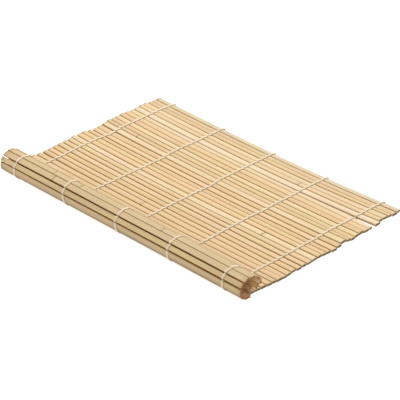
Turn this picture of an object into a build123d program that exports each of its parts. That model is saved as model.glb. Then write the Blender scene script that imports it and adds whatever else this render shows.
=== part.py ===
from build123d import *
import os
from math import sin, cos, radians, pi, hypot

# A bamboo rolling mat for sushi: 43 split-bamboo slats bound side by side by
# five lines of cotton twine. The far part lies flat, the near edge is curled
# up into a hollow roll.
#
# Frame: millimetres, +X along the slats, +Y from the rolled edge to the far
# edge, +Z up. Z = 0 is the surface that the mat lies on, and X = Y = 0 is the
# middle of its footprint.

os.makedirs("parts", exist_ok=True)

# ---------------------------------------------------------------- driving dimensions
slat_thickness = 1.9      # skin side to rounded side
slat_gap = 0.70           # space between neighbouring slats
top_round = 0.75          # rounded edges of the inner side
skin_round = 0.12         # crisp edges of the skin side
twine_under = 0.55        # height of the skin side above the table
twine_clear = 0.04        # twine to bamboo
pass_over = 0.56          # twine lying over a slat, its height
pass_under = 0.50         # twine lying under a slat, its height
pinch = 0.20              # twine squeezed between two slats
lane = 0.66               # width of one strand; two lanes side by side make a line
knot_length = 1.5
inner_knot_length = 0.8   # the knots inside the roll are pulled flatter
knot_width = 2.3
knot_height = 1.9
inner_knot_height = 1.5

# width of each slat plus one gap, from the far edge to the near edge
flat_pitch = [4.5, 4.25, 4.5, 5.25, 4.75, 6.0, 4.5, 5.5, 5.5, 5.25, 4.5, 4.75, 5.5, 5.25, 5.65, 4.35,
              4.85, 5.4, 5.75, 4.75, 5.0, 5.5, 5.1, 5.0, 5.8, 5.35, 4.0, 5.5, 5.2, 5.6, 5.3]
curl_pitch = [6.0, 5.8, 5.55, 4.3, 5.2, 5.2, 5.1, 4.9, 5.1, 5.0, 5.1, 4.9]
# turn at each twine hinge of the curled edge, degrees, from the flat part inwards
curl_turn = [5.0, 38.0, 43.5, 43.0, 29.0, 23.0, 30.5, 48.5, 48.5, 49.0, 46.5, 46.0]

# where each slat starts and ends along X, in the order of the slats: the mat's
# sides are ragged, because the slats have slid a little in their twine
left_end = [-120.2, -120.0, -120.4, -121.4, -121.6, -120.6, -120.6, -121.0, -121.8, -121.2, -121.0, -121.4, -120.2, -119.0,
            -118.6, -119.4, -121.0, -120.4, -120.8, -119.6, -119.8, -119.8, -119.2, -119.0, -118.8, -118.8, -120.0, -119.6,
            -120.4, -119.2, -119.9, -118.0, -116.2, -116.9, -117.2, -117.4, -117.7, -116.0, -115.2, -114.8, -114.2, -114.6, -114.9]
right_end = [118.9, 119.6, 118.7, 118.2, 118.2, 120.3, 120.4, 120.8, 119.9, 120.4, 121.2, 120.5, 119.4, 121.3,
             122.4, 121.6, 121.4, 121.0, 121.2, 121.6, 121.4, 121.9, 121.3, 122.0, 122.4, 122.2, 121.6, 121.5,
             120.9, 120.6, 120.4, 122.8, 122.3, 123.3, 122.9, 122.9, 123.8, 124.6, 125.0, 123.2, 119.8, 118.4, 118.6]
twine_x = [-106.0, -52.4, 0.0, 51.6, 103.0]      # the five twine lines
far_edge = -1.75                                  # far limit of the first slat's share, before centring
centre_x = 1.6
centre_y = -85.98
root = 16                                         # the slat in the middle of the flat part
rest_slats = (1, 16, 31)                          # slats whose lower twine is what the mat stands on

pitch = flat_pitch + curl_pitch
n_flat, n = len(flat_pitch), len(pitch)
half = slat_thickness / 2
mid_z = twine_under + half

# ---------------------------------------------------------------- where each slat lies
# hinge[k] is the twine crossing between slat k and slat k + 1, as (y, z); hinge[0] and
# hinge[n] are the two free edges. tilt[k] is how far slat k is turned up, in radians.
hinge = [(far_edge - centre_y, mid_z)]
tilt, place = [], []
turned = 0.0
for k in range(n):
    if k >= n_flat:
        turned += radians(curl_turn[k - n_flat])
    y, z = hinge[-1]
    dy, dz = -cos(turned), sin(turned)
    tilt.append(turned)
    place.append((y + dy * pitch[k] / 2, z + dz * pitch[k] / 2))
    hinge.append((y + dy * pitch[k], z + dz * pitch[k]))


def from_slat(k, u, v):
    """A point of slat k's own section, u across it towards the far edge, v towards its rounded side, as (y, z)."""
    a = tilt[k]
    return (place[k][0] + u * cos(a) + v * sin(a), place[k][1] - u * sin(a) + v * cos(a))


def from_gap(k, u, v):
    """The same for the gap after slat k, in the frame that halves the turn there."""
    a0 = tilt[max(k - 1, 0)] if k > 0 else tilt[0]
    a1 = tilt[min(k, n - 1)]
    a = (a0 + a1) / 2
    return (hinge[k][0] + u * cos(a) + v * sin(a), hinge[k][1] - u * sin(a) + v * cos(a))


# ---------------------------------------------------------------- bamboo slats
for k in range(n):
    across = pitch[k] - slat_gap
    section_plane = Plane(
        origin=(left_end[k] - centre_x, place[k][0], place[k][1]),
        x_dir=(0, cos(tilt[k]), -sin(tilt[k])),
        z_dir=(1, 0, 0),
    )
    with BuildPart() as slat:
        with BuildSketch(section_plane) as section:
            Rectangle(across, slat_thickness)
            fillet(section.vertices().group_by(Axis.Y)[-1], radius=top_round)
            fillet(section.vertices().group_by(Axis.Y)[0], radius=skin_round)
        extrude(amount=right_end[k] - left_end[k])
    slat.part.label = f"slat_{k + 1:02d}"
    export_step(slat.part, f"parts/slat_{k + 1:02d}.step")


# ---------------------------------------------------------------- twine strands
def top_corner(k, side, share):
    """Where a strand rounds the top edge of slat k, on its far (+1) or near (-1) side. share runs from 0 on the flat of the slat to 1 towards the gap."""
    across = pitch[k] - slat_gap
    j = k if side > 0 else k + 1
    turn = (tilt[j] - tilt[j - 1]) / 2 if 0 < j < n else 0.0
    thick = (1 - share) * pass_over / 2 + share * pinch / 2
    radius = top_round + twine_clear + thick
    angle = pi / 2 + share * (pi / 2 - turn)
    u, v = radius * cos(angle), radius * sin(angle)
    cu, cv = -across / 2 + top_round, half - top_round
    if side > 0:
        cu, u = -cu, -u
    return (*from_slat(k, cu + u, cv + v), thick)


def low_corner(k, side, share):
    """The same for the crisp lower edge."""
    across = pitch[k] - slat_gap
    thick = (1 - share) * pass_under / 2 + share * pinch / 2
    radius = skin_round + twine_clear + thick
    angle = -pi / 2 - share * pi / 2
    u, v = radius * cos(angle), radius * sin(angle)
    cu, cv = -across / 2 + skin_round, -half + skin_round
    if side > 0:
        cu, u = -cu, -u
    return (*from_slat(k, cu + u, cv + v), thick)


def pinch_point(k, top):
    """The middle of the gap after slat k, at its upper or lower mouth."""
    a0 = tilt[k - 1] if k > 0 else tilt[0]
    a1 = tilt[k] if k < n else tilt[n - 1]
    h = (a1 - a0) / 2
    v = (half - top_round) * cos(h) + (slat_gap / 2 + top_round) * sin(h) if top else -half + skin_round
    return (*from_gap(k, 0.0, v), pinch / 2)


def strand_path(first_over, start, stop):
    """Centre points with half thickness, from the gap before slat index start to the gap before slat index stop."""
    points = []
    for k in range(start, stop):
        over = (k % 2 == 0) == first_over
        corner = top_corner if over else low_corner
        points.append(pinch_point(k, over))
        points += [corner(k, +1, s) for s in (0.66, 0.33, 0.0)]
        points += [corner(k, -1, s) for s in (0.0, 0.33, 0.66)]
        points.append(pinch_point(k + 1, over))
    return points


def band(points):
    """The closed outline of a strand of varying thickness along a row of centre points."""
    left, right = [], []
    for i, (y, z, t) in enumerate(points):
        y0, z0, _ = points[max(i - 1, 0)]
        y1, z1, _ = points[min(i + 1, len(points) - 1)]
        dy, dz = y1 - y0, z1 - z0
        size = hypot(dy, dz)
        left.append((y - dz / size * t, z + dy / size * t))
        right.append((y + dz / size * t, z - dy / size * t))
    return left + right[::-1]


def spans(first_over):
    """A strand is whole, except where its pass under a slat belongs to what the mat stands on."""
    cuts = [k - 1 for k in rest_slats if ((k - 1) % 2 == 0) != first_over]
    row, start = [], 0
    for c in cuts:
        if c > start:
            row.append(strand_path(first_over, start, c))
        start = c + 1
    row.append(strand_path(first_over, start, n))
    return row


for line, x in enumerate(twine_x):
    for name, first_over, offset in (("a", True, 0.0), ("b", False, -lane)):
        with BuildPart() as strand:
            for points in spans(first_over):
                with BuildSketch(Plane.YZ.offset(x - centre_x + offset + 0.01)):
                    with BuildLine():
                        Polyline(*band(points), close=True)
                    make_face()
                extrude(amount=lane - 0.02)
        strand.part.label = f"twine_{line + 1}{name}"
        export_step(strand.part, f"parts/twine_{line + 1}{name}.step")


# ---------------------------------------------------------------- twine that the mat stands on, and the knots
def pad_plane(k, x):
    """Where one flat pass of twine lies under slat k."""
    return Plane(origin=(x - centre_x - lane, place[k][0], (twine_under - twine_clear) / 2), x_dir=(0, 1, 0), z_dir=(1, 0, 0))


def knot_plane(k, side, x, length):
    """Where a knot of this length sits against the outer edge of slat k."""
    y, z = from_slat(k, side * (pitch[k] / 2 + pinch / 2 + 0.05 + length / 2), 0.0)
    return Plane(origin=(x - centre_x - knot_width / 2, y, z), x_dir=(0, cos(tilt[k]), -sin(tilt[k])), z_dir=(1, 0, 0))


def pad_size(k):
    return pitch[k] - slat_gap - 0.3


pad_height = twine_under - twine_clear

with BuildPart() as far_edge_knots:
    for x in twine_x:
        with BuildSketch(knot_plane(0, +1, x, knot_length)):
            RectangleRounded(knot_length, knot_height, 0.6)
        extrude(amount=knot_width)
        with BuildSketch(pad_plane(0, x)):
            RectangleRounded(pad_size(0), pad_height, 0.15)
        extrude(amount=2 * lane)
far_edge_knots.part.label = "far_edge_knots"
export_step(far_edge_knots.part, "parts/far_edge_knots.step")

with BuildPart() as middle_twine_pads:
    for x in twine_x:
        with BuildSketch(pad_plane(root - 1, x)):
            RectangleRounded(pad_size(root - 1), pad_height, 0.15)
        extrude(amount=2 * lane)
middle_twine_pads.part.label = "middle_twine_pads"
export_step(middle_twine_pads.part, "parts/middle_twine_pads.step")

with BuildPart() as roll_base_twine_pads:
    for x in twine_x:
        with BuildSketch(pad_plane(n_flat - 1, x)):
            RectangleRounded(pad_size(n_flat - 1), pad_height, 0.15)
        extrude(amount=2 * lane)
roll_base_twine_pads.part.label = "roll_base_twine_pads"
export_step(roll_base_twine_pads.part, "parts/roll_base_twine_pads.step")

with BuildPart() as near_edge_knots:
    for x in twine_x:
        with BuildSketch(knot_plane(n - 1, -1, x, inner_knot_length)):
            RectangleRounded(inner_knot_length, inner_knot_height, 0.35)
        extrude(amount=knot_width)
near_edge_knots.part.label = "near_edge_knots"
export_step(near_edge_knots.part, "parts/near_edge_knots.step")

print("slats", n, "flat", n_flat, "unrolled length", round(sum(pitch), 1))
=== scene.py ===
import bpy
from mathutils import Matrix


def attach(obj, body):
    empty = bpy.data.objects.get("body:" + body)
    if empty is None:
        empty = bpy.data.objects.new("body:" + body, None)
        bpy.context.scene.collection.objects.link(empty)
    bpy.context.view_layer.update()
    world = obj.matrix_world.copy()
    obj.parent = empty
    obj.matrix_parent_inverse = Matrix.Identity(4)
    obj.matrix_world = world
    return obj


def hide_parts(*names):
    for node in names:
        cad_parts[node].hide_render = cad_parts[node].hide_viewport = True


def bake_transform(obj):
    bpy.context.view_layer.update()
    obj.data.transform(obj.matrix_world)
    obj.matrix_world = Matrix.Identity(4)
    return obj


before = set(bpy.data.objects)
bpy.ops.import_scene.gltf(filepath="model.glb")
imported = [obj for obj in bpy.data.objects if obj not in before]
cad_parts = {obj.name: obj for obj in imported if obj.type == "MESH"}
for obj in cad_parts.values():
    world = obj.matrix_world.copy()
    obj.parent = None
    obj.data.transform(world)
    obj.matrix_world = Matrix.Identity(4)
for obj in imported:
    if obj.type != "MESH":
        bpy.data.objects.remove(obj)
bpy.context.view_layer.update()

from math import sin, cos, radians, pi, hypot, sqrt

import bpy
import numpy as np
from mathutils import Matrix, Vector

# A bamboo rolling mat: split slats, flat on the skin side and rounded on the inner
# side, twined together by five lines of two-ply cotton. Lengths here are in
# millimetres and become metres when a mesh is made.

MM = 0.001
scene = bpy.context.scene

# ================================================================ the frame's own numbers
thick = 1.9
gap = 0.49                 # between neighbouring slats, as a rule
top_round = 0.75
skin_round = 0.12
twine_under = 0.55
clear = 0.02
flat_pitch = [4.5, 4.25, 4.5, 5.25, 4.75, 6.0, 4.5, 5.5, 5.5, 5.25, 4.5, 4.75, 5.5, 5.25, 5.65, 4.35,
              4.85, 5.4, 5.75, 4.75, 5.0, 5.5, 5.1, 5.0, 5.8, 5.35, 4.0, 5.5, 5.2, 5.6, 5.3]
curl_pitch = [6.0, 5.8, 5.55, 4.3, 5.2, 5.2, 5.1, 4.9, 5.1, 5.0, 5.1, 4.9]
curl_turn = [5.0, 38.0, 43.5, 43.0, 29.0, 23.0, 30.5, 48.5, 48.5, 49.0, 46.5, 46.0]
left_end = [-120.2, -120.0, -120.4, -121.4, -121.6, -120.6, -120.6, -121.0, -121.8, -121.2, -121.0, -121.4, -120.2, -119.0,
            -118.6, -119.4, -121.0, -120.4, -120.8, -119.6, -119.8, -119.8, -119.2, -119.0, -118.8, -118.8, -120.0, -119.6,
            -120.4, -119.2, -119.9, -118.0, -116.2, -116.9, -117.2, -117.4, -117.7, -116.0, -115.2, -114.8, -114.2, -114.6, -114.9]
right_end = [118.9, 119.6, 118.7, 118.2, 118.2, 120.3, 120.4, 120.8, 119.9, 120.4, 121.2, 120.5, 119.4, 121.3,
             122.4, 121.6, 121.4, 121.0, 121.2, 121.6, 121.4, 121.9, 121.3, 122.0, 122.4, 122.2, 121.6, 121.5,
             120.9, 120.6, 120.4, 122.8, 122.3, 123.3, 122.9, 122.9, 123.8, 124.6, 125.0, 123.2, 119.8, 118.4, 118.6]
twine_x = [-106.0, -52.4, 0.0, 51.6, 103.0]
centre_x, centre_y, far_edge = 1.6, -85.98, -1.75

pitch = flat_pitch + curl_pitch
n_flat, n = len(flat_pitch), len(pitch)
half = thick / 2
mid_z = twine_under + half

hinge = [(far_edge - centre_y, mid_z)]
tilt, place = [], []
turned = 0.0
for k in range(n):
    if k >= n_flat:
        turned += radians(curl_turn[k - n_flat])
    y, z = hinge[-1]
    dy, dz = -cos(turned), sin(turned)
    tilt.append(turned)
    place.append((y + dy * pitch[k] / 2, z + dz * pitch[k] / 2))
    hinge.append((y + dy * pitch[k], z + dz * pitch[k]))


def from_slat(k, u, v):
    a = tilt[k]
    return (place[k][0] + u * cos(a) + v * sin(a), place[k][1] - u * sin(a) + v * cos(a))


def from_gap(k, u, v):
    a = (tilt[max(k - 1, 0)] + tilt[min(k, n - 1)]) / 2
    return (hinge[k][0] + u * cos(a) + v * sin(a), hinge[k][1] - u * sin(a) + v * cos(a))


def body(k):
    return f"slat_{k + 1:02d}"


# the gap before each slat, and after the last: a few stand wider open
rng = np.random.default_rng(77)
gaps = [gap + float(rng.uniform(-0.20, 0.16)) for _ in range(n + 1)]
for i, wide in {1: 0.42, 2: 0.20, 3: 0.56, 4: 0.22, 5: 0.54, 6: 0.46, 7: 0.43, 8: 0.41, 9: 0.57, 10: 0.44, 11: 0.43, 12: 0.31,
                13: 0.54, 14: 0.60, 15: 0.62, 16: 0.28, 17: 0.24, 18: 0.57, 19: 0.33, 20: 0.56, 21: 0.66, 22: 0.45, 23: 0.58,
                24: 0.40, 25: 0.50, 26: 0.34, 27: 0.38, 28: 0.41,
                33: 0.42, 34: 0.59, 35: 0.85, 36: 0.26, 37: 0.18, 38: 0.22}.items():
    gaps[i] = wide
# where two neighbours sit so close that the cut edges between them hardly show: the painted groove shade on their sides
# is weakened
faint_groove_shade = {2: 0.05, 4: 0.35, 7: 0.35, 11: 0.8, 16: 0.6, 17: 0.6, 27: 0.8, 37: 0.1, 38: 0.1}
outer = 0.8                # the far edge slat is wider towards the outside


def reach(k, s):
    """Half width of slat k, on its far (+1) or near (-1) side."""
    return pitch[k] / 2 - (gaps[k] if s > 0 else gaps[k + 1]) / 2 + (outer if k == 0 and s > 0 else 0.0)


# ================================================================ how the slats have warped
# The slats bow and splay a little: how far each end stands towards the far edge,
# against the middle of the slat.
bow_right = [3.8, 3.5, 3.4, 3.4, 3.3, 3.1, 0.9, 1.1, 1.4, 1.5, 1.6, 1.8, 1.9, 1.5, 1.2, 1.0, 0.9, 0.8, 0.7, 0.7,
             0.6, 0.6, 0.5, 0.5, 0.4, 0.4, 0.4, 0.3, 0.3, 0.2, 0.1]
bow_left = [1.3, 1.4, 1.6, 1.9, 2.2, 2.4, 2.3, 2.3, 2.5, 2.7, 2.8, 2.7, 2.6, 1.9, 1.4, 1.2, 1.0, 0.9, 0.9, 0.8,
            0.8, 0.7, 0.6, 0.6, 0.5, 0.4, 0.4, 0.3, 0.2, 0.1, 0.0]
for i in range(6):
    bow_right[i] += 0.6
for i in range(14, 25):
    bow_left[i] += 1.1
for i in range(21, 25):
    bow_right[i] -= 0.6
bow_right += [0.0] * len(curl_pitch)
bow_left += [0.0] * len(curl_pitch)


def wave(seed, x, length, harmonics=3):
    """A smooth wander along x, about -1 to 1."""
    rng = np.random.default_rng(seed)
    total = np.zeros_like(np.asarray(x, float))
    size = 0.0
    for h in range(1, harmonics + 1):
        total += np.sin(2 * pi * np.asarray(x, float) * h / length + rng.uniform(0, 2 * pi)) / h
        size += 1.0 / h
    return total / size * 1.3


def shift(k, x):
    """How far slat k stands towards the far edge at x."""
    x = np.asarray(x, float)
    s = np.where(x > 0, bow_right[k] * (np.clip(x, 0, None) / 112.0) ** 2, bow_left[k] * (np.clip(-x, 0, None) / 118.0) ** 2)
    settled = np.interp(x, [-118, -88, -26, 26, 78, 104, 118], [0.10, -0.18, -0.34, -0.50, -0.40, -0.30, -0.10])
    settled = settled + float(np.interp(k, [0, 6.5, 8], [-0.35, -0.25, 0.0]))
    return s + settled * float(np.interp(k, [25, 30], [1.0, 0.0])) + 0.055 * wave(500 + k, x, 260.0)


# slats taper: how far the gap before a slat stands towards the far edge, at five places along it
taper_x = [-105, -30, 26, 80, 114]
taper = {2: (-0.3, -0.2, 0.0, -0.4, -0.8), 3: (-0.1, -0.2, 0.0, 0.0, 0.4), 4: (0.2, 0.0, 0.2, 0.2, 0.2), 7: (-0.3, -0.1, 0.1, 0.2, -0.4),
         10: (0.0, 0.2, 0.0, 0.2, -0.4), 11: (-0.2, -0.1, -0.2, -0.2, -0.5), 12: (0.6, 0.4, -0.2, 0.6, 1.0),
         14: (-1.1, -0.2, -0.1, -0.4, -0.5), 15: (-0.3, 0.2, -0.1, 0.0, -0.6), 16: (0.0, -0.2, -0.1, -0.2, -0.4),
         18: (-0.2, -0.3, -0.1, 0.3, 0.6), 19: (0.3, 0.1, -0.1, 0.3, 0.5), 20: (0.1, -0.2, 0.0, 0.2, -0.3),
         21: (0.1, 0.1, 0.1, -0.2, -0.3), 22: (0.1, 0.2, 0.0, -0.2, 0.2), 23: (-0.2, 0.0, -0.2, 0.0, -0.3), 24: (-0.2, 0.1, 0.0, -0.3, -0.6),
         25: (0.9, 0.2, 0.0, 0.1, 0.5), 26: (1.0, 0.1, -0.1, 0.3, 0.2), 27: (0.1, 0.4, 0.1, -0.5, 0.0), 28: (0.4, 0.2, -0.1, 0.0, 0.0)}


def tapered(k, u, x):
    """How far a point of slat k, u across it, is moved by the taper of both its sides."""
    f = float(np.interp(x, taper_x, taper[k])) if k in taper else 0.0
    b = float(np.interp(x, taper_x, taper[k + 1])) if k + 1 in taper else 0.0
    part = 0.5 + 0.5 * np.clip(u / (pitch[k] / 2), -1, 1)
    return f * part + b * (1 - part)


def spare(k, s, x):
    """Slat 7 is broader up to the right twine line, and leaves a wedge open beyond it; two curled slats are pared at the left."""
    if (k, s) in ((33, -1), (34, +1)):
        return float(np.interp(x, [-118, -112, -102], [-0.12, -0.10, 0.0]))
    if (k, s) != (6, +1):
        return 0.0
    return float(np.interp(x, [0, 45, 70, 85, 97, 102, 106, 120], [0.0, 0.05, 0.50, 0.95, 1.40, 1.25, 0.0, 0.0]))


def askew_by(k, x):
    """The curled edge is rolled up a little askew: how far it stands towards the far edge, and up, at x."""
    x = np.asarray(x, float)
    full = np.where(x > 0, -1.2, -1.0) * x / 118.0 * (1.0 if k >= n_flat else 0.0)
    # less along the mat than across it, so that the slats keep apart when the curl is laid flat
    held = 0.7 if k == n_flat else 0.55 if k == n_flat + 1 else 0.65 if k < 38 else 0.4
    c, si = cos(tilt[k]), sin(tilt[k])
    u, v = full * c * held, full * si
    return u * c + v * si, -u * si + v * c


# ================================================================ tones
def linear(rgb):
    return [((c / 255 + 0.055) / 1.055) ** 2.4 if c / 255 > 0.04045 else c / 255 / 12.92 for c in rgb]


LIGHT = 1.45              # what the studio's light makes of a white surface that faces up


def albedo(rgb):
    """The surface colour that shows as rgb on top of the mat."""
    return [c / LIGHT for c in linear(rgb)]


TONES = {
    "g": (229, 214, 186),   # the palest, greyish
    "e": (223, 206, 172),   # greyish cream
    "p": (243, 222, 186),   # the palest cream
    "c": (244, 217, 177),   # pale cream
    "d": (242, 214, 170),   # cream
    "m": (239, 208, 161),   # tan
    "w": (238, 203, 155),   # warm tan
    "s": (233, 202, 157),   # greyish tan
    "k": (231, 197, 148),   # darker tan
    "o": (238, 196, 138),   # yellowish brown
}
# painted shade: the slat at index 27, beside the roll, takes the darker 'k' tone for the roll's contact shadow
tone_of = "essdmpcwkdmsckmwwwcmmmkwwwsk" + "wsw"      # flat part, far edge first
tone_of += "kwkwksowowoo"
# skin side colours; keys 31 and 32, at the bottom of the roll, are greyer and darker as painted shade
SKINS = {31: (196, 180, 152), 32: (196, 178, 146), 33: (224, 195, 144), 34: (244, 214, 156), 35: (227, 199, 152), 36: (214, 190, 139),
         37: (220, 190, 142), 38: (222, 190, 142), 39: (224, 190, 142), 40: (224, 188, 140), 41: (226, 188, 136), 42: (226, 188, 136)}


# painted shade: the skin of key 33 greys towards its lower edge
LOWER_PAINTED_SHADE = {33: (174, 160, 136)}


# ================================================================ node helpers
def new_material(name):
    m = bpy.data.materials.new(name)
    m.use_nodes = True
    nt = m.node_tree
    nt.nodes.clear()
    out = nt.nodes.new("ShaderNodeOutputMaterial")
    bsdf = nt.nodes.new("ShaderNodeBsdfPrincipled")
    nt.links.new(bsdf.outputs[0], out.inputs[0])
    return m, nt, bsdf


def attribute(nt, name, output):
    a = nt.nodes.new("ShaderNodeAttribute")
    a.attribute_name = name
    return a.outputs[output]


def stretched(nt, vec, scale, shiftby=(0, 0, 0)):
    m = nt.nodes.new("ShaderNodeMapping")
    m.inputs["Scale"].default_value = scale
    m.inputs["Location"].default_value = shiftby
    nt.links.new(vec, m.inputs["Vector"])
    return m.outputs[0]


def noise(nt, vec, scale=1.0, detail=2.0, rough=0.5, distortion=0.0):
    t = nt.nodes.new("ShaderNodeTexNoise")
    t.inputs["Scale"].default_value = scale
    t.inputs["Detail"].default_value = detail
    t.inputs["Roughness"].default_value = rough
    t.inputs["Distortion"].default_value = distortion
    nt.links.new(vec, t.inputs["Vector"])
    return t.outputs["Fac"]


def ramp(nt, value, low, high, to_low=0.0, to_high=1.0):
    r = nt.nodes.new("ShaderNodeMapRange")
    r.inputs["From Min"].default_value = low
    r.inputs["From Max"].default_value = high
    r.inputs["To Min"].default_value = to_low
    r.inputs["To Max"].default_value = to_high
    nt.links.new(value, r.inputs["Value"])
    return r.outputs[0]


def math(nt, op, a, b=None):
    m = nt.nodes.new("ShaderNodeMath")
    m.operation = op
    for i, x in enumerate((a, b)):
        if x is None:
            continue
        if isinstance(x, (int, float)):
            m.inputs[i].default_value = x
        else:
            nt.links.new(x, m.inputs[i])
    return m.outputs[0]


def mix(nt, factor, a, b, mode="MIX"):
    m = nt.nodes.new("ShaderNodeMix")
    m.data_type = "RGBA"
    m.blend_type = mode
    for socket, x in ((m.inputs[0], factor), (m.inputs[6], a), (m.inputs[7], b)):
        if isinstance(x, (int, float)):
            socket.default_value = x
        elif isinstance(x, (tuple, list)):
            socket.default_value = (*x, 1.0)
        else:
            nt.links.new(x, socket)
    return m.outputs[2]


def scaled(nt, colour, factor):
    """colour times a value"""
    v = nt.nodes.new("ShaderNodeVectorMath")
    v.operation = "SCALE"
    nt.links.new(colour, v.inputs[0])
    nt.links.new(factor, v.inputs["Scale"])
    return v.outputs[0]


# ================================================================ bamboo
def bamboo_material():
    m, nt, bsdf = new_material("split_bamboo")
    loc = attribute(nt, "loc", "Vector")
    tone = attribute(nt, "tone", "Color")
    skin = attribute(nt, "skin", "Color")
    cut = attribute(nt, "cut", "Color")
    edge = attribute(nt, "edge", "Color")
    side = attribute(nt, "side", "Vector")       # end grain, skin side, cut edge
    parts = nt.nodes.new("ShaderNodeSeparateXYZ")
    nt.links.new(side, parts.inputs[0])
    is_end, is_skin, cut_edge_and_groove_shade = parts.outputs

    # long fibres, in three widths, and slow changes along a slat
    broad = noise(nt, stretched(nt, loc, (0.010, 0.75, 0.75)), 1.0, 2.0, 0.55)
    fibre = noise(nt, stretched(nt, loc, (0.020, 2.6, 2.6), (31, 7, 3)), 1.0, 3.0, 0.6)
    hair = noise(nt, stretched(nt, loc, (0.05, 9.0, 9.0), (11, 17, 5)), 1.0, 2.0, 0.6)
    patch = noise(nt, stretched(nt, loc, (0.019, 0.16, 0.16), (5, 3, 71)), 1.0, 2.0, 0.5)
    fleck = noise(nt, stretched(nt, loc, (0.045, 0.5, 0.5), (51, 13, 7)), 1.0, 3.0, 0.6)

    light = ramp(nt, broad, 0.3, 0.7, 0.95, 1.05)
    light = math(nt, "MULTIPLY", light, ramp(nt, fibre, 0.3, 0.72, 1.08, 0.89))
    light = math(nt, "MULTIPLY", light, ramp(nt, hair, 0.3, 0.7, 0.97, 1.03))
    colour = scaled(nt, tone, light)
    # pinkish and yellowish stretches
    colour = mix(nt, ramp(nt, patch, 0.52, 0.70, 0.0, 0.52), colour, albedo((245, 207, 168)))
    colour = mix(nt, ramp(nt, patch, 0.48, 0.30, 0.0, 0.58), colour, albedo((236, 212, 150)))
    colour = mix(nt, ramp(nt, fleck, 0.57, 0.74, 0.0, 0.50), colour, albedo((232, 189, 136)))
    # short dark bundle marks on the inner side
    dash = noise(nt, stretched(nt, loc, (0.11, 6.0, 6.0), (3, 41, 13)), 1.0, 1.0, 0.5)
    dash = math(nt, "MULTIPLY", ramp(nt, dash, 0.64, 0.74), ramp(nt, is_skin, 0.0, 1.0, 0.34, 0.14))
    colour = mix(nt, dash, colour, albedo((186, 142, 92)))
    # the skin side is smoother and duller, with a green grey cast
    dull = scaled(nt, mix(nt, ramp(nt, patch, 0.42, 0.62, 0.0, 0.55), skin, albedo((222, 190, 148))),
                  math(nt, "MULTIPLY", ramp(nt, fibre, 0.3, 0.7, 1.04, 0.94), ramp(nt, fleck, 0.3, 0.7, 1.03, 0.95)))
    colour = mix(nt, is_skin, colour, dull)
    # cut edges between the slats are darker: their own colour, and painted shade of the groove between the slats,
    # fading up over the rounded top
    colour = mix(nt, math(nt, "MULTIPLY", cut_edge_and_groove_shade, 0.64), colour, edge)
    # end grain: brown, with the dots of the bundles
    cells = nt.nodes.new("ShaderNodeTexVoronoi")
    cells.inputs["Scale"].default_value = 2.1
    nt.links.new(stretched(nt, loc, (0.02, 1.0, 1.0)), cells.inputs["Vector"])
    dots = ramp(nt, cells.outputs["Distance"], 0.18, 0.42)
    shade = nt.nodes.new("ShaderNodeVectorMath")
    shade.operation = "SCALE"
    nt.links.new(cut, shade.inputs[0])
    nt.links.new(math(nt, "MULTIPLY", ramp(nt, dots, 0.0, 1.0, 0.62, 1.08),
                      ramp(nt, noise(nt, stretched(nt, loc, (0.1, 1.1, 1.1)), 1.0, 3.0), 0.3, 0.7, 0.8, 1.2)), shade.inputs["Scale"])
    grain = shade.outputs[0]
    colour = mix(nt, is_end, colour, grain)
    # bamboo nodes, where a slat has one
    where = nt.nodes.new("ShaderNodeSeparateXYZ")
    nt.links.new(loc, where.inputs[0])
    places = nt.nodes.new("ShaderNodeSeparateXYZ")
    nt.links.new(attribute(nt, "nodex", "Vector"), places.inputs[0])
    ragged = ramp(nt, noise(nt, stretched(nt, loc, (0.35, 2.0, 2.0)), 1.0, 3.0), 0.2, 0.8, -1.6, 1.6)
    broken = ramp(nt, noise(nt, stretched(nt, loc, (0.25, 1.1, 1.1), (9, 9, 9)), 1.0, 2.0), 0.36, 0.52)
    node_dark = node_band_and_highlight = None
    for place_x in places.outputs:
        off = math(nt, "ADD", math(nt, "SUBTRACT", where.outputs[0], place_x), ragged)
        dark = ramp(nt, math(nt, "ABSOLUTE", off), 1.25, 0.35, 0.0, 0.80)
        # a lighter band to one side of each node mark: node colour, and a painted highlight on the node's ridge
        pale = ramp(nt, math(nt, "ABSOLUTE", math(nt, "SUBTRACT", off, 1.9)), 1.5, 0.2, 0.0, 0.35)
        node_dark = dark if node_dark is None else math(nt, "MAXIMUM", node_dark, dark)
        node_band_and_highlight = pale if node_band_and_highlight is None else math(nt, "MAXIMUM", node_band_and_highlight, pale)
    node_dark = math(nt, "MULTIPLY", node_dark, broken)
    colour = mix(nt, node_band_and_highlight, colour, albedo((234, 218, 172)))
    colour = mix(nt, node_dark, colour, albedo((158, 130, 88)))
    nt.links.new(colour, bsdf.inputs["Base Color"])

    rough = ramp(nt, is_skin, 0.0, 1.0, 0.60, 0.46)
    rough = math(nt, "ADD", rough, ramp(nt, fibre, 0.3, 0.7, -0.05, 0.09))
    rough = math(nt, "MAXIMUM", rough, ramp(nt, is_end, 0.0, 1.0, 0.0, 0.88))
    nt.links.new(rough, bsdf.inputs["Roughness"])
    bsdf.inputs["Specular IOR Level"].default_value = 0.2

    height = math(nt, "ADD", math(nt, "MULTIPLY", fibre, 0.7), math(nt, "MULTIPLY", hair, 0.35))
    height = math(nt, "ADD", height, math(nt, "MULTIPLY", node_dark, -0.6))
    bump = nt.nodes.new("ShaderNodeBump")
    bump.inputs["Strength"].default_value = 0.6
    bump.inputs["Distance"].default_value = 0.00014
    nt.links.new(height, bump.inputs["Height"])
    nt.links.new(bump.outputs[0], bsdf.inputs["Normal"])
    return m


BAMBOO = bamboo_material()
# marks across a slat where the cane had a node, up to three to a slat
node_places = {36: (-69.8, -42.4, 39.7), 35: (-66.0,), 4: (44.0,), 11: (-88.0,), 18: (74.0,), 24: (-14.0,), 38: (31.0,), 29: (88.0,)}


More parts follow.
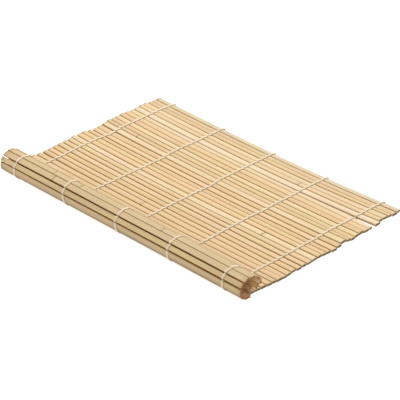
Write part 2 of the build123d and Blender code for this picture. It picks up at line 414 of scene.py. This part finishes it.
def section(far, near, crown):
    """Outline of a slat, u across and v up to its rounded side, with how much each point is skin and how much cut edge,
    the cut edge share running on over the rounding as painted groove shade.
    """
    def one_side(hw):
        pts = []
        r, s = top_round, skin_round
        for u in (hw * 0.0, hw * 0.45, hw - s - 0.16):
            pts.append((u, -half, 1.0, 0.0))
        for i in range(4):
            a = -pi / 2 + i * pi / 6
            pts.append((hw - s + s * cos(a), -half + s + s * sin(a), 1.0 - i * 0.25, i * 0.25))
        pts.append((hw, -half + 0.55, 0.0, 1.0))
        # the cut edge share fades over the rounded top: painted shade of the groove
        for i in range(8):
            a = i * (pi / 2) / 7
            pts.append((hw - r + r * cos(a), half - r + r * sin(a), 0.0, max(0.0, 1.0 - i / 5.5)))
        for t in (0.85, 0.66, 0.45, 0.22):
            pts.append(((hw - r) * t, half + crown * (1 - t * t), 0.0, 0.0))
        pts.append((0.0, half + crown, 0.0, 0.0))
        return pts
    right, left = one_side(far), one_side(near)
    return right + [(-u, v, a, b) for u, v, a, b in reversed(left[1:-1])]


CROWN = 0.20


def make_slat(k):
    rng = np.random.default_rng(100 + k)
    x0, x1 = left_end[k], right_end[k]
    stations = np.concatenate([[x0, x0 + 0.14, x0 + 1.2, x0 + 3.0], np.linspace(x0 + 6, x1 - 6, 58), [x1 - 3.0, x1 - 1.2, x1 - 0.14, x1]])
    crown = CROWN + float(rng.uniform(-0.03, 0.03))
    outline = section(reach(k, +1), reach(k, -1), crown)
    m = len(outline)
    ou = np.array([p[0] for p in outline])
    ov = np.array([p[1] for p in outline])
    oskin = np.array([p[2] for p in outline])
    edge_and_groove_shade = np.array([p[3] for p in outline])
    # painted groove shade at the slat's sides, weakened where neighbours sit close
    edge_and_groove_shade = edge_and_groove_shade * np.where(ou < 0, faint_groove_shade.get(k + 1, 1.0), faint_groove_shade.get(k, 1.0))
    skew = [(rng.uniform(-0.11, 0.11), rng.uniform(-0.12, 0.12)) for _ in range(2)]
    ragged = [rng.uniform(-0.10, 0.10, m) for _ in range(2)]
    sway = shift(k, stations)
    askew = askew_by(k, stations)
    swell = 1 + 0.012 * wave(900 + k, stations, 150.0)
    lift = 0.03 * wave(1300 + k, stations, 190.0)
    roll = radians(rng.uniform(-0.7, 0.7))
    verts, locs, sides = [], [], []
    last = len(stations) - 1
    for i, x in enumerate(stations):
        tip = i in (0, last)
        shrink = 0.955 if tip else 1.0
        u = ou * swell[i] * shrink
        u = u * np.where(u > 0, 1 + spare(k, +1, x) / reach(k, +1), 1 + spare(k, -1, x) / reach(k, -1)) + tapered(k, u, x)
        v = ov * shrink
        u, v = u * cos(roll) + v * sin(roll), -u * sin(roll) + v * cos(roll)
        e = 0 if i <= last / 2 else 1
        near = max(0.0, 1 - min(x - x0, x1 - x) / 6.0)
        xs = x + (skew[e][0] * u + skew[e][1] * v + ragged[e] * (1.0 if tip else 0.0)) * near ** 2 * (1 if i > 3 or e else 1)
        uu, vv = u + sway[i], v + lift[i]
        a = tilt[k]
        Y = place[k][0] + uu * cos(a) + vv * sin(a) + askew[0][i]
        Z = place[k][1] - uu * sin(a) + vv * cos(a) + askew[1][i]
        verts += [((xx - centre_x) * MM, yy * MM, zz * MM) for xx, yy, zz in zip(xs, Y, Z)]
        locs += [(xx + 400.0 * k, uu_ + 20.0 * k, vv_) for xx, uu_, vv_ in zip(xs, u, v)]
        # darker towards the tips, mixed towards the end-grain colour
        tip_darkening = {0: 0.75, 1: 0.60, 2: 0.12, last: 0.55}.get(i, 0.0)
        if k >= n_flat:        # the ends of the curled slats are darker brown a little way in
            tip_darkening = {0: 0.62, 1: 0.55, 2: 0.40, 3: 0.20, last - 3: 0.08, last - 2: 0.18, last - 1: 0.40, last: 0.60}.get(i, 0.0)
        sides += [(tip_darkening, s_, e_) for s_, e_ in zip(oskin, edge_and_groove_shade)]
    faces = []
    for i in range(last):
        for j in range(m):
            a, b = i * m + j, i * m + (j + 1) % m
            faces.append((a, b, b + m, a + m))
    # end grain: the face stands back a little in the middle
    sharp = set()
    for e, base in ((0, 0), (1, last * m)):
        ring = [base + j for j in range(m)]
        inner = []
        cx = np.mean([verts[q] for q in ring], axis=0)
        for shrink, dip in ((0.90, 0.02), (0.45, rng.uniform(-0.05, 0.08))):
            start = len(verts)
            for q in ring:
                p = np.array(verts[q])
                pos = cx + (p - cx) * shrink
                pos[0] += (dip * MM) * (1 if e == 0 else -1)
                verts.append(tuple(pos))
                l = np.array(locs[q])
                locs.append((l[0], 20.0 * k + (l[1] - 20.0 * k) * shrink, l[2] * shrink))
                sides.append((1.0, 0.0, 0.0))
            inner.append([start + j for j in range(m)])
        centre = len(verts)
        verts.append(tuple(cx + np.array([dip * MM * (1 if e == 0 else -1), 0, 0])))
        locs.append((locs[ring[0]][0], 20.0 * k, 0.0))
        sides.append((1.0, 0.0, 0.0))
        loops = [ring] + inner
        for r0, r1 in zip(loops, loops[1:]):
            for j in range(m):
                q = (r0[j], r0[(j + 1) % m], r1[(j + 1) % m], r1[j])
                faces.append(q if e == 1 else q[::-1])
        for j in range(m):
            q = (loops[-1][j], loops[-1][(j + 1) % m], centre)
            faces.append(q if e == 1 else q[::-1])
        for j in range(m):
            sharp.add(tuple(sorted((ring[j], ring[(j + 1) % m]))))
    mesh = bpy.data.meshes.new(f"bamboo_{k + 1:02d}")
    mesh.from_pydata(verts, [], [f[::-1] for f in faces])
    mesh.polygons.foreach_set("use_smooth", [True] * len(mesh.polygons))
    for edge in mesh.edges:
        if tuple(sorted(edge.vertices)) in sharp:
            edge.use_edge_sharp = True
    base = np.array(albedo(TONES[tone_of[k]]))
    base = base * rng.uniform(0.97, 1.03) * np.array([1, rng.uniform(0.99, 1.01), rng.uniform(0.97, 1.03)])
    skin = np.array(albedo(SKINS.get(k, (224, 202, 156)))) * rng.uniform(0.98, 1.02)
    skins = np.tile(np.append(skin, 1.0), (len(mesh.vertices), 1))
    if k in LOWER_PAINTED_SHADE:      # painted shade: greyer towards the edge next to the board
        across = np.array([l[1] - 20.0 * k for l in locs]) / reach(k, +1)
        share = np.clip((across - 0.15) / 0.75, 0, 1)[:, None] * np.array([[1, 1, 1, 0]])
        skins = skins * (1 - share) + np.append(albedo(LOWER_PAINTED_SHADE[k]), 1.0) * share
    count = len(mesh.vertices)
    a = mesh.attributes.new("loc", "FLOAT_VECTOR", "POINT")
    a.data.foreach_set("vector", np.array(locs, np.float32).ravel())
    a = mesh.attributes.new("side", "FLOAT_VECTOR", "POINT")
    a.data.foreach_set("vector", np.array(sides, np.float32).ravel())
    a = mesh.attributes.new("tone", "FLOAT_COLOR", "POINT")
    tones = np.tile(np.append(base, 1.0), (count, 1))
    along = np.array([l[0] - 400.0 * k for l in locs])
    darker = 0.00042 * max(0.0, 1 - k / 24)                 # painted shade in the far left corner and painted light at the right, evening out the key light
    tones[:, :3] *= (0.997 + np.where(along < 0, darker, 0.00030) * along)[:, None]
    if k >= n_flat:            # painted light: the curled slats are paler near their right ends, inside the roll's mouth
        tones[:, :3] *= 1 + 0.32 * np.clip((15.0 - right_end[k] + along) / 12.0, 0, 1)[:, None]
    a.data.foreach_set("color", tones.astype(np.float32).ravel())
    cut = np.array(albedo((170, 114, 76) if n_flat <= k < 34 else (160, 114, 78) if k >= n_flat else (134, 114, 84))) * rng.uniform(0.82, 1.15)
    a = mesh.attributes.new("cut", "FLOAT_COLOR", "POINT")
    a.data.foreach_set("color", np.tile(np.append(cut, 1.0), count).astype(np.float32))
    # cut edge colour, which also paints the shade in the grooves between the slats
    edge_and_groove_shade_tone = albedo((182, 124, 34) if k >= n_flat else (178, 129, 58))
    a = mesh.attributes.new("edge", "FLOAT_COLOR", "POINT")
    a.data.foreach_set("color", np.tile(np.append(edge_and_groove_shade_tone, 1.0), count).astype(np.float32))
    a = mesh.attributes.new("skin", "FLOAT_COLOR", "POINT")
    a.data.foreach_set("color", skins.astype(np.float32).ravel())
    marks = (list(node_places.get(k, ())) + [9999.0] * 3)[:3]
    a = mesh.attributes.new("nodex", "FLOAT_VECTOR", "POINT")
    a.data.foreach_set("vector", np.tile(np.array(marks) + 400.0 * k, count).astype(np.float32))
    mesh.materials.append(BAMBOO)
    mesh.update()
    obj = bpy.data.objects.new(f"bamboo_slat_{k + 1:02d}", mesh)
    scene.collection.objects.link(obj)
    return obj


for k in range(n):
    slat = make_slat(k)
    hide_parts(body(k))
    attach(slat, body(k))


# ================================================================ twine
def twine_material():
    m, nt, bsdf = new_material("cotton_twine")
    loc = attribute(nt, "tw", "Vector")     # length along, angle round, line
    fuzz = noise(nt, stretched(nt, loc, (2.6, 3.0, 1.0)), 1.0, 3.0, 0.65)
    grime = noise(nt, stretched(nt, loc, (0.12, 0.2, 1.0), (9, 2, 4)), 1.0, 2.0, 0.5)
    colour = mix(nt, ramp(nt, fuzz, 0.3, 0.75), albedo((250, 235, 202)), albedo((242, 215, 174)))
    colour = mix(nt, ramp(nt, grime, 0.45, 0.7, 0.0, 0.55), colour, albedo((246, 214, 177)))
    nt.links.new(colour, bsdf.inputs["Base Color"])
    bsdf.inputs["Roughness"].default_value = 0.92
    bsdf.inputs["Specular IOR Level"].default_value = 0.15
    bsdf.inputs["Sheen Weight"].default_value = 0.3
    bsdf.inputs["Sheen Roughness"].default_value = 0.6
    bump = nt.nodes.new("ShaderNodeBump")
    bump.inputs["Strength"].default_value = 0.5
    bump.inputs["Distance"].default_value = 0.00008
    nt.links.new(fuzz, bump.inputs["Height"])
    nt.links.new(bump.outputs[0], bsdf.inputs["Normal"])
    return m


TWINE = twine_material()
over_h, under_h, gap_h = 0.33, 0.245, 0.22      # half heights
over_w, under_w, gap_w = 1.18, 1.10, 0.68       # half widths
lane = 0.36


def top_corner(k, s, share):
    j = k if s > 0 else k + 1
    turn = (tilt[j] - tilt[j - 1]) / 2 if 0 < j < n else 0.0
    t = (1 - share) * over_h + share * gap_h
    radius = top_round + clear + t
    angle = pi / 2 + share * (pi / 2 - turn)
    u, v = radius * cos(angle), radius * sin(angle)
    return s * (reach(k, s) - top_round - u), half - top_round + v


def low_corner(k, s, share):
    t = (1 - share) * under_h + share * gap_h
    radius = skin_round + clear + t
    angle = -pi / 2 - share * pi / 2
    u, v = radius * cos(angle), radius * sin(angle)
    return s * (reach(k, s) - skin_round - u), -half + skin_round + v


# how far each line has crept along the slats, at a count of slats from the far edge
crept_at = [0, 3, 8, 12, 14, 17, 20, 23, 26.5, 29, 31, 33.0, 33.5, 34.5, 35.5, 36.5, 37.5, 39, 43]
crept = [
    [1.6, 0.3, 0.1, 0.0, 2.2, 1.1, 0.9, 1.5, 1.7, 2.4, 3.2, 5.2, 4.6, 3.95, 3.6, 4.2, 4.8, 1.0, 0.3],
    [0.9, 0.4, 0.1, 0.1, 1.9, 1.6, 0.8, 0.5, 0.8, 1.0, 1.2, 4.2, 2.7, 1.05, 0.2, 0.15, 1.3, 0.4, 0.1],
    [0.9, 0.7, -0.1, 0.3, 1.8, 1.6, 1.5, 1.2, 1.4, 1.6, 2.0, 4.5, 3.4, 2.3, 1.9, 1.45, 2.1, 0.6, 0.3],
    [0.6, 0.0, 0.1, -0.3, 0.8, 0.0, 0.4, 1.0, 0.9, 1.3, 1.8, 3.7, 2.9, 2.2, 1.75, 1.65, 1.8, 0.6, 0.3],
    [0.1, -0.2, 0.2, -0.2, 1.2, 0.3, 0.7, 1.0, 1.0, 1.6, 2.4, 3.8, 3.2, 2.6, 2.4, 3.3, 5.6, 1.0, 0.4],
]


def line_x(line, at):
    """Where the line lies along the slats; at counts slats from the far edge, a slat's middle being at .5."""
    return twine_x[line] + 0.35 * float(wave(40 + line, [at - 0.5], 17.0)[0]) + float(np.interp(at, crept_at, crept[line]))


def strand(line, first_over):
    """Rings' centres along one strand: y, z in the frame, x, half width, half height, and the slat's own count of the way along."""
    rows = []
    for k in range(n):
        over = (k % 2 == 0) == first_over
        corner = top_corner if over else low_corner
        h, w = (over_h, over_w) if over else (under_h, under_w)
        sign = 1.0 if over else -1.0
        row = []
        for s, shares in ((+1, (0.95, 0.75, 0.5, 0.25, 0.0)), (-1, (0.0, 0.25, 0.5, 0.75, 0.95))):
            for share in shares:
                u, v = corner(k, s, share)
                row.append((u, v, share))
            if s > 0:
                a, b = row[-1], corner(k, -1, 0.0)
                for t in (0.2, 0.4, 0.5, 0.6, 0.8):
                    rise = CROWN * 4 * t * (1 - t) if over else 0.0
                    row.append((a[0] + (b[0] - a[0]) * t, a[1] + (b[1] - a[1]) * t + rise, 0.0))
        mid = len(row) // 2
        for i, (u, v, share) in enumerate(row):
            across_share = max(-1.0, min(1.0, u / (pitch[k] / 2)))
            xx = line_x(line, k + 0.5 - u / pitch[k]) + sign * lane * (across_share * 1.15 if abs(across_share) < 0.87 else (1 if across_share > 0 else -1))
            uu = u + float(shift(k, xx)) + float(tapered(k, u, xx))
            Y, Z = from_slat(k, uu, v)
            aside = askew_by(k, xx)
            Y, Z = Y + float(aside[0]), Z + float(aside[1])
            share2 = share * share * (3 - 2 * share)
            rows.append((xx - centre_x, Y, Z, w + (gap_w - w) * share2, h + (gap_h - h) * share2, k + 0.5 - u / pitch[k]))
    return np.array(rows)


def resample(rows, step):
    """A smooth curve through the rows, in even steps, with rings exactly at each slat's middle."""
    P = rows[:, :3]
    # Catmull-Rom through the points
    fine = []
    for i in range(len(rows) - 1):
        p0, p1, p2, p3 = rows[max(i - 1, 0)], rows[i], rows[i + 1], rows[min(i + 2, len(rows) - 1)]
        for t in np.linspace(0, 1, 6, endpoint=False):
            fine.append(0.5 * ((2 * p1) + (-p0 + p2) * t + (2 * p0 - 5 * p1 + 4 * p2 - p3) * t * t + (-p0 + 3 * p1 - 3 * p2 + p3) * t ** 3))
    fine.append(rows[-1])
    fine = np.array(fine)
    s = np.concatenate([[0], np.cumsum(np.linalg.norm(np.diff(fine[:, :3], axis=0), axis=1))])
    cuts = [0.0]
    for k in range(n):
        cuts.append(float(np.interp(k + 0.5, np.maximum.accumulate(fine[:, 5]), s)))
    cuts.append(float(s[-1]))
    at, mark = [], []
    for i, (a, b) in enumerate(zip(cuts, cuts[1:])):
        count = max(2, int(round((b - a) / step)))
        mark.append(len(at))
        at += list(np.linspace(a, b, count, endpoint=False))
    mark.append(len(at))
    at.append(cuts[-1])
    out = np.stack([np.interp(at, s, fine[:, c]) for c in range(6)], 1)
    return out, np.array(at), mark


ROUND = 14


def tube(points, lengths, half_w, half_h, lay=2.7, phase=0.0, closed=False):
    """Two-ply yarn along points: verts, faces and (length, angle) of each vertex."""
    P = np.asarray(points, float)
    T = np.gradient(P, axis=0)
    T /= np.linalg.norm(T, axis=1)[:, None]
    X = np.array([1.0, 0, 0])
    e1 = X - T * (T @ X)[:, None]
    e1 /= np.linalg.norm(e1, axis=1)[:, None]
    e2 = np.cross(T, e1)
    phi = np.linspace(0, 2 * pi, ROUND, endpoint=False)
    verts, marks = [], []
    c, R = 0.22, 0.78
    for i in range(len(P)):
        turn = 2 * pi * lengths[i] / lay + phase
        a = phi - turn
        r = c * np.abs(np.cos(a)) + np.sqrt(R * R - (c * np.sin(a)) ** 2)
        ring = P[i] + np.outer(r * np.cos(phi) * half_w[i], e1[i]) + np.outer(r * np.sin(phi) * half_h[i], e2[i])
        verts += [tuple(p) for p in ring]
        marks += [(lengths[i], a_ / (2 * pi) * 4) for a_ in a]
    faces = []
    for i in range(len(P) - 1):
        for j in range(ROUND):
            a, b = i * ROUND + j, i * ROUND + (j + 1) % ROUND
            faces.append((a, b, b + ROUND, a + ROUND))
    faces.append(tuple(range(ROUND - 1, -1, -1)))
    top = (len(P) - 1) * ROUND
    faces.append(tuple(top + j for j in range(ROUND)))
    return verts, faces, marks


def build(name, parts):
    verts, faces, marks = [], [], []
    for v, f, m in parts:
        base = len(verts)
        verts += [(a * MM, b * MM, c * MM) for a, b, c in v]
        faces += [tuple(base + q for q in face) for face in f]
        marks += m
    mesh = bpy.data.meshes.new(name)
    mesh.from_pydata(verts, [], faces)
    mesh.polygons.foreach_set("use_smooth", [True] * len(mesh.polygons))
    a = mesh.attributes.new("tw", "FLOAT_VECTOR", "POINT")
    a.data.foreach_set("vector", np.array(marks, np.float32).ravel())
    mesh.materials.append(TWINE)
    mesh.update()
    obj = bpy.data.objects.new(name, mesh)
    scene.collection.objects.link(obj)
    return obj


strands = {}
for line in range(5):
    for which, first_over in (("a", True), ("b", False)):
        rows, at, mark = resample(strand(line, first_over), 0.24)
        strands[line, which] = (rows, at, mark)


def stretch(line, which, i):
    """The part of a strand between the middles of slats i - 1 and i."""
    rows, at, mark = strands[line, which]
    a, b = mark[i], mark[i + 1] + 1
    r = rows[max(a - 1, 0):b + 1]
    lead = 1 if a > 0 else 0
    tail = 1 if b < len(rows) else 0
    # the tangents at both ends come from the whole strand, so that neighbouring pieces meet
    P = r[:, :3]
    v, f, m = tube(P, at[max(a - 1, 0):b + 1], r[:, 3], r[:, 4], phase=line * 1.3 + (0 if which == "a" else 2.0))
    count = len(P)
    keep0, keep1 = lead, count - tail
    v = v[keep0 * ROUND:keep1 * ROUND]
    m = m[keep0 * ROUND:keep1 * ROUND]
    rings = keep1 - keep0
    faces = []
    for q in range(rings - 1):
        for j in range(ROUND):
            c, d = q * ROUND + j, q * ROUND + (j + 1) % ROUND
            faces.append((c, d, d + ROUND, c + ROUND))
    faces.append(tuple(range(ROUND - 1, -1, -1)))
    faces.append(tuple((rings - 1) * ROUND + j for j in range(ROUND)))
    return v, faces, [(x, y, line * 7.0 + (0 if which == "a" else 3.0)) for x, y in m]


def knot(line, k, s, size):
    """A tight overhand knot against the outer edge of slat k, with two short tails."""
    rng = np.random.default_rng(7000 + line * 10 + k)
    x = line_x(line, k + 0.5)
    off = float(shift(k, x))
    length, wide, high = size
    t = np.linspace(0, 2 * pi, 61)
    a = (np.sin(t) + 2 * np.sin(2 * t)) / 3
    b = (np.cos(t) - 2 * np.cos(2 * t)) / 3
    c = -np.sin(3 * t)
    turn = rng.uniform(0, 2 * pi)
    a, b = a * cos(turn) + b * sin(turn), -a * sin(turn) + b * cos(turn)
    r = 0.29
    px = x - centre_x + a * (wide / 2 - r)
    pu = s * (reach(k, s) + 0.42 + length / 2) + off + c * (length / 2 - r * 0.8)
    pv = b * (high / 2 - r)
    yz = [from_slat(k, u, v) for u, v in zip(pu, pv)]
    aside = [float(w) for w in askew_by(k, x)]
    P = np.array([(xx, y + aside[0], z + aside[1]) for xx, (y, z) in zip(px, yz)])
    at = np.concatenate([[0], np.cumsum(np.linalg.norm(np.diff(P, axis=0), axis=1))])
    parts = []

    def plain(P, at, r0):
        T = np.gradient(P, axis=0)
        T /= np.linalg.norm(T, axis=1)[:, None]
        normal = np.array([0.3, 0.5, 0.8])
        verts, marks = [], []
        for i in range(len(P)):
            normal = normal - T[i] * (normal @ T[i])
            normal /= np.linalg.norm(normal)
            other = np.cross(T[i], normal)
            for ph in np.linspace(0, 2 * pi, 10, endpoint=False):
                lobes = 1 + 0.16 * cos(2 * (ph - at[i] * 2.2))
                verts.append(tuple(P[i] + (normal * cos(ph) + other * sin(ph)) * r0[i] * lobes))
                marks.append((at[i], ph / 2, line * 7.0 + 1.0))
        faces = []
        for i in range(len(P) - 1):
            for j in range(10):
                c0, d0 = i * 10 + j, i * 10 + (j + 1) % 10
                faces.append((c0, d0, d0 + 10, c0 + 10))
        faces.append(tuple(range(9, -1, -1)))
        faces.append(tuple((len(P) - 1) * 10 + j for j in range(10)))
        return verts, faces, marks

    parts.append(plain(P, at, np.full(len(P), r)))
    # two short tails, each a single tapering strand
    for tail in range(2):
        q = np.linspace(0, 1, 8)
        lean = rng.uniform(-0.5, 0.5) + (0.8 if tail else -0.8)
        tx = x - centre_x + lean * (0.3 + 0.9 * q)
        tu = s * (reach(k, s) + 0.55 + length * 0.35 + 0.9 * q * rng.uniform(0.5, 0.9)) + off
        tv = 0.15 + (0.55 if s > 0 else 0.2) * np.sin(q * 2.0) * rng.uniform(0.3, 1.0)
        yz = [from_slat(k, u, v) for u, v in zip(tu, tv)]
        P2 = np.array([(xx, y + aside[0], z + aside[1]) for xx, (y, z) in zip(tx, yz)])
        at2 = np.concatenate([[0], np.cumsum(np.linalg.norm(np.diff(P2, axis=0), axis=1))])
        parts.append(plain(P2, at2, 0.24 * (1 - 0.35 * q)))
    return parts


all_strands = [f"twine_{i}{c}" for i in range(1, 6) for c in "ab"]
for i in range(n + 1):
    parts = [stretch(line, which, i) for line in range(5) for which in "ab"]
    if i == 0:
        for line in range(5):
            parts += knot(line, 0, +1, (1.5, 2.3, 1.9))
        piece = build("twine_far_edge", parts)
        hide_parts("far_edge_knots", *all_strands)
        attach(piece, body(0))
    elif i == n:
        for line in range(5):
            parts += knot(line, n - 1, -1, (0.95, 2.1, 1.5))
        piece = build("twine_near_edge", parts)
        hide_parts("near_edge_knots", *all_strands)
        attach(piece, body(n - 1))
    else:
        piece = build(f"twine_gap_{i:02d}", parts)
        nodes = list(all_strands)
        if i in (15, 16):
            nodes.append("middle_twine_pads")
        if i in (30, 31):
            nodes.append("roll_base_twine_pads")
        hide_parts(*nodes)
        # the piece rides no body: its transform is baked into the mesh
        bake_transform(piece)


# ================================================================ floor, light and camera
def floor_material():
    m, nt, bsdf = new_material("studio_floor")
    bsdf.inputs["Base Color"].default_value = (0.35, 0.35, 0.35, 1)
    bsdf.inputs["Roughness"].default_value = 0.9
    bsdf.inputs["Specular IOR Level"].default_value = 0.0
    bsdf.inputs["Emission Color"].default_value = (1, 1, 1, 1)
    bsdf.inputs["Emission Strength"].default_value = 0.85
    return m


size = 6.0
floor_mesh = bpy.data.meshes.new("floor")
floor_mesh.from_pydata([(-size, -size, 0), (size, -size, 0), (size, size, 0), (-size, size, 0)], [], [(0, 1, 2, 3)])
floor_mesh.materials.append(floor_material())
floor = bpy.data.objects.new("floor", floor_mesh)
floor.location = (0, 0, -0.00005)
scene.collection.objects.link(floor)

world = bpy.data.worlds.new("studio")
scene.world = world
world.use_nodes = True
world.node_tree.nodes["Background"].inputs[0].default_value = (1, 1, 1, 1)
world.node_tree.nodes["Background"].inputs[1].default_value = 0.85
scene.view_settings.view_transform = "Standard"
scene.view_settings.look = "None"


def area(name, place_at, aim, size, power, colour=(1, 1, 1)):
    light = bpy.data.lights.new(name, "AREA")
    light.shape = "DISK"
    light.size = size
    light.energy = power
    light.color = colour
    obj = bpy.data.objects.new(name, light)
    scene.collection.objects.link(obj)
    obj.location = place_at
    obj.rotation_mode = "QUATERNION"
    obj.rotation_quaternion = (Vector(aim) - Vector(place_at)).to_track_quat("-Z", "Y")
    return obj


area("key", (-0.50, 0.55, 1.15), (0, 0, 0), 0.8, 16.0)

camera = bpy.data.cameras.new("camera")
camera.sensor_width = 36.0
camera.lens = 2388.8 / 400.0 * 36.0
camera.clip_start, camera.clip_end = 0.05, 50.0
cam = bpy.data.objects.new("camera", camera)
scene.collection.objects.link(cam)
az, el, rl = radians(42.44), radians(29.96), radians(2.26)
right = Vector((cos(az), sin(az), 0))
back = Vector((sin(az) * cos(el), -cos(az) * cos(el), sin(el)))
up = back.cross(right)
r2 = right * cos(rl) + up * sin(rl)
u2 = -right * sin(rl) + up * cos(rl)
cam.matrix_world = Matrix((
    (r2.x, u2.x, back.x, 1.014342),
    (r2.y, u2.y, back.y, -1.106196),
    (r2.z, u2.z, back.z, 0.8609),
    (0, 0, 0, 1)))
scene.camera = cam
